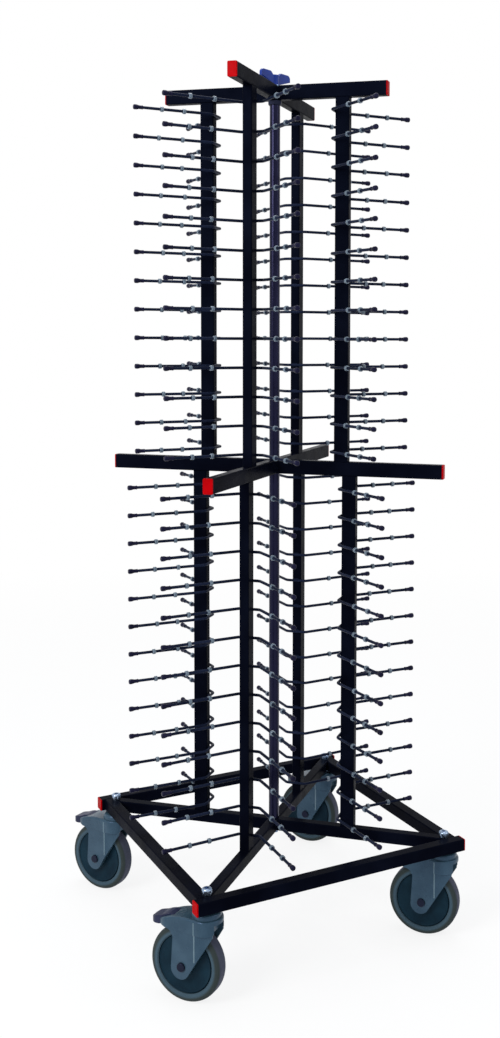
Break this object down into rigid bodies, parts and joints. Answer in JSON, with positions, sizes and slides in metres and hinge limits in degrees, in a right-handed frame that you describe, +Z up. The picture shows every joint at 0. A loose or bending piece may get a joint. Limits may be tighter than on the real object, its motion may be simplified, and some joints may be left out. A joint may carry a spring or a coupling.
{
  "type": "plate rack trolley",
  "caption": "Mobile rack that stores plates in columns between bent wire arms, on stacking tiers above a square castor base.",
  "frame": {"origin": "on the floor, under the middle of the square base", "axes": "+Z up; X and Y along the sides of the base, the posts on the diagonals"},
  "size_m": [0.6459, 0.6701, 1.8131],
  "materials": {
    "frame_steel": "satin",
    "red_plastic": "satin",
    "blue_plastic": "satin",
    "ring_silicone": "satin",
    "black_vinyl": "satin",
    "fork_plastic": "satin",
    "tyre_rubber": "matte",
    "disc_plastic": "satin",
    "pedal_plastic": "satin",
    "zinc_steel": "satin",
    "dark_steel": "satin"
  },
  "bodies": {
    "lower_tier": {"base_beams": "frame_steel", "base_side_beams": "frame_steel", "base_diagonals": "frame_steel", "base_end_caps": "red_plastic", "castor_stems": "zinc_steel", "castor_bearings": "ring_silicone", "castor_bolts": "zinc_steel", "lower_posts": "frame_steel", "lower_wires": "frame_steel", "lower_arm_caps": "black_vinyl", "middle_cross": "frame_steel", "middle_cross_caps": "red_plastic", "lower_pole": "frame_steel", "lower_pole_inserts": "zinc_steel", "lower_pole_bolt": "zinc_steel"},
    "upper_tier": {"upper_posts": "frame_steel", "upper_wires": "frame_steel", "upper_arm_caps": "black_vinyl", "top_cross": "frame_steel", "top_cross_caps": "red_plastic", "upper_pole": "frame_steel", "upper_pole_studs": "zinc_steel", "pole_collar_nut": "dark_steel", "locating_pins": "zinc_steel"},
    "wing_washer": {"wing_washer": "zinc_steel"},
    "wing_nut": {"wing_nut": "blue_plastic"},
    "lower_rings_front_to_left": {"lower_rings_front_to_left": "ring_silicone"},
    "lower_rings_front_to_right": {"lower_rings_front_to_right": "ring_silicone"},
    "lower_rings_right_to_front": {"lower_rings_right_to_front": "ring_silicone"},
    "lower_rings_right_to_back": {"lower_rings_right_to_back": "ring_silicone"},
    "lower_rings_back_to_right": {"lower_rings_back_to_right": "ring_silicone"},
    "lower_rings_back_to_left": {"lower_rings_back_to_left": "ring_silicone"},
    "lower_rings_left_to_back": {"lower_rings_left_to_back": "ring_silicone"},
    "lower_rings_left_to_front": {"lower_rings_left_to_front": "ring_silicone"},
    "upper_rings_front_to_left": {"upper_rings_front_to_left": "ring_silicone"},
    "upper_rings_front_to_right": {"upper_rings_front_to_right": "ring_silicone"},
    "upper_rings_right_to_front": {"upper_rings_right_to_front": "ring_silicone"},
    "upper_rings_right_to_back": {"upper_rings_right_to_back": "ring_silicone"},
    "upper_rings_back_to_right": {"upper_rings_back_to_right": "ring_silicone"},
    "upper_rings_back_to_left": {"upper_rings_back_to_left": "ring_silicone"},
    "upper_rings_left_to_back": {"upper_rings_left_to_back": "ring_silicone"},
    "upper_rings_left_to_front": {"upper_rings_left_to_front": "ring_silicone"},
    "castor_fork_front": {"castor_fork_front": "fork_plastic", "castor_axle_front": "dark_steel"},
    "castor_wheel_front": {"castor_tyre_front": "tyre_rubber", "castor_disc_front": "disc_plastic"},
    "brake_pedal_front": {"brake_pedal_front": "pedal_plastic"},
    "castor_fork_right": {"castor_fork_right": "fork_plastic", "castor_axle_right": "dark_steel"},
    "castor_wheel_right": {"castor_tyre_right": "tyre_rubber", "castor_disc_right": "disc_plastic"},
    "castor_fork_back": {"castor_fork_back": "fork_plastic", "castor_axle_back": "dark_steel"},
    "castor_wheel_back": {"castor_tyre_back": "tyre_rubber", "castor_disc_back": "disc_plastic"},
    "castor_fork_left": {"castor_fork_left": "fork_plastic", "castor_axle_left": "dark_steel"},
    "castor_wheel_left": {"castor_tyre_left": "tyre_rubber", "castor_disc_left": "disc_plastic"},
    "brake_pedal_left": {"brake_pedal_left": "pedal_plastic"}
  },
  "joints": [
    {"name": "upper_tier_lift", "type": "slide", "parent": "lower_tier", "child": "upper_tier", "axis": [0, 0, 1], "range_m": [0, 0.08]},
    {"name": "wing_washer_rise", "type": "slide", "parent": "upper_tier", "child": "wing_washer", "axis": [0, 0, 1], "range_m": [0, 0.0072]},
    {"name": "wing_nut_turn", "type": "hinge", "parent": "wing_washer", "child": "wing_nut", "pos_m": [0, 0, 1.79], "axis": [0, 0, 1], "range_deg": [0, 1440]},
    {"name": "lower_rings_front_to_left_slide", "type": "slide", "parent": "lower_tier", "child": "lower_rings_front_to_left", "axis": [-0.9991, -0.0413, 0], "range_m": [-0.045, 0.028]},
    {"name": "lower_rings_front_to_right_slide", "type": "slide", "parent": "lower_tier", "child": "lower_rings_front_to_right", "axis": [-0.0413, -0.9991, 0], "range_m": [-0.045, 0.028]},
    {"name": "lower_rings_right_to_front_slide", "type": "slide", "parent": "lower_tier", "child": "lower_rings_right_to_front", "axis": [0.0413, -0.9991, 0], "range_m": [-0.045, 0.028]},
    {"name": "lower_rings_right_to_back_slide", "type": "slide", "parent": "lower_tier", "child": "lower_rings_right_to_back", "axis": [0.9991, -0.0413, 0], "range_m": [-0.045, 0.028]},
    {"name": "lower_rings_back_to_right_slide", "type": "slide", "parent": "lower_tier", "child": "lower_rings_back_to_right", "axis": [0.9991, 0.0413, 0], "range_m": [-0.045, 0.028]},
    {"name": "lower_rings_back_to_left_slide", "type": "slide", "parent": "lower_tier", "child": "lower_rings_back_to_left", "axis": [0.0413, 0.9991, 0], "range_m": [-0.045, 0.028]},
    {"name": "lower_rings_left_to_back_slide", "type": "slide", "parent": "lower_tier", "child": "lower_rings_left_to_back", "axis": [-0.0413, 0.9991, 0], "range_m": [-0.045, 0.028]},
    {"name": "lower_rings_left_to_front_slide", "type": "slide", "parent": "lower_tier", "child": "lower_rings_left_to_front", "axis": [-0.9991, 0.0413, 0], "range_m": [-0.045, 0.028]},
    {"name": "upper_rings_front_to_left_slide", "type": "slide", "parent": "upper_tier", "child": "upper_rings_front_to_left", "axis": [-0.9991, -0.0413, 0], "range_m": [-0.045, 0.028]},
    {"name": "upper_rings_front_to_right_slide", "type": "slide", "parent": "upper_tier", "child": "upper_rings_front_to_right", "axis": [-0.0413, -0.9991, 0], "range_m": [-0.045, 0.028]},
    {"name": "upper_rings_right_to_front_slide", "type": "slide", "parent": "upper_tier", "child": "upper_rings_right_to_front", "axis": [0.0413, -0.9991, 0], "range_m": [-0.045, 0.028]},
    {"name": "upper_rings_right_to_back_slide", "type": "slide", "parent": "upper_tier", "child": "upper_rings_right_to_back", "axis": [0.9991, -0.0413, 0], "range_m": [-0.045, 0.028]},
    {"name": "upper_rings_back_to_right_slide", "type": "slide", "parent": "upper_tier", "child": "upper_rings_back_to_right", "axis": [0.9991, 0.0413, 0], "range_m": [-0.045, 0.028]},
    {"name": "upper_rings_back_to_left_slide", "type": "slide", "parent": "upper_tier", "child": "upper_rings_back_to_left", "axis": [0.0413, 0.9991, 0], "range_m": [-0.045, 0.028]},
    {"name": "upper_rings_left_to_back_slide", "type": "slide", "parent": "upper_tier", "child": "upper_rings_left_to_back", "axis": [-0.0413, 0.9991, 0], "range_m": [-0.045, 0.028]},
    {"name": "upper_rings_left_to_front_slide", "type": "slide", "parent": "upper_tier", "child": "upper_rings_left_to_front", "axis": [-0.9991, 0.0413, 0], "range_m": [-0.045, 0.028]},
    {"name": "castor_swivel_front", "type": "hinge", "parent": "lower_tier", "child": "castor_fork_front", "pos_m": [-0.267, -0.267, 0.18], "axis": [0, 0, 1], "continuous": true},
    {"name": "castor_roll_front", "type": "hinge", "parent": "castor_fork_front", "child": "castor_wheel_front", "pos_m": [-0.29135, -0.23527, 0.075], "axis": [-0.7934, -0.6088, 0], "continuous": true},
    {"name": "brake_pedal_front_press", "type": "hinge", "parent": "castor_fork_front", "child": "brake_pedal_front", "pos_m": [-0.3084, -0.21305, 0.16], "axis": [-0.7934, -0.6088, 0], "range_deg": [0, 10.5]},
    {"name": "castor_swivel_right", "type": "hinge", "parent": "lower_tier", "child": "castor_fork_right", "pos_m": [0.267, -0.267, 0.18], "axis": [0, 0, 1], "continuous": true},
    {"name": "castor_roll_right", "type": "hinge", "parent": "castor_fork_right", "child": "castor_wheel_right", "pos_m": [0.24076, -0.23681, 0.075], "axis": [-0.7547, -0.6561, 0], "continuous": true},
    {"name": "castor_swivel_back", "type": "hinge", "parent": "lower_tier", "child": "castor_fork_back", "pos_m": [0.267, 0.267, 0.18], "axis": [0, 0, 1], "continuous": true},
    {"name": "castor_roll_back", "type": "hinge", "parent": "castor_fork_back", "child": "castor_wheel_back", "pos_m": [0.24237, 0.29852, 0.075], "axis": [-0.788, -0.6157, 0], "continuous": true},
    {"name": "castor_swivel_left", "type": "hinge", "parent": "lower_tier", "child": "castor_fork_left", "pos_m": [-0.267, 0.267, 0.18], "axis": [0, 0, 1], "continuous": true},
    {"name": "castor_roll_left", "type": "hinge", "parent": "castor_fork_left", "child": "castor_wheel_left", "pos_m": [-0.2882, 0.30092, 0.075], "axis": [-0.848, -0.5299, 0], "continuous": true},
    {"name": "brake_pedal_left_press", "type": "hinge", "parent": "castor_fork_left", "child": "brake_pedal_left", "pos_m": [-0.30303, 0.32467, 0.16], "axis": [-0.848, -0.5299, 0], "range_deg": [0, 10.5]}
  ],
  "couplings": [
    {"joint": "wing_washer_rise", "follows": "wing_nut_turn", "m_per_rad": 0.00027852}
  ]
}
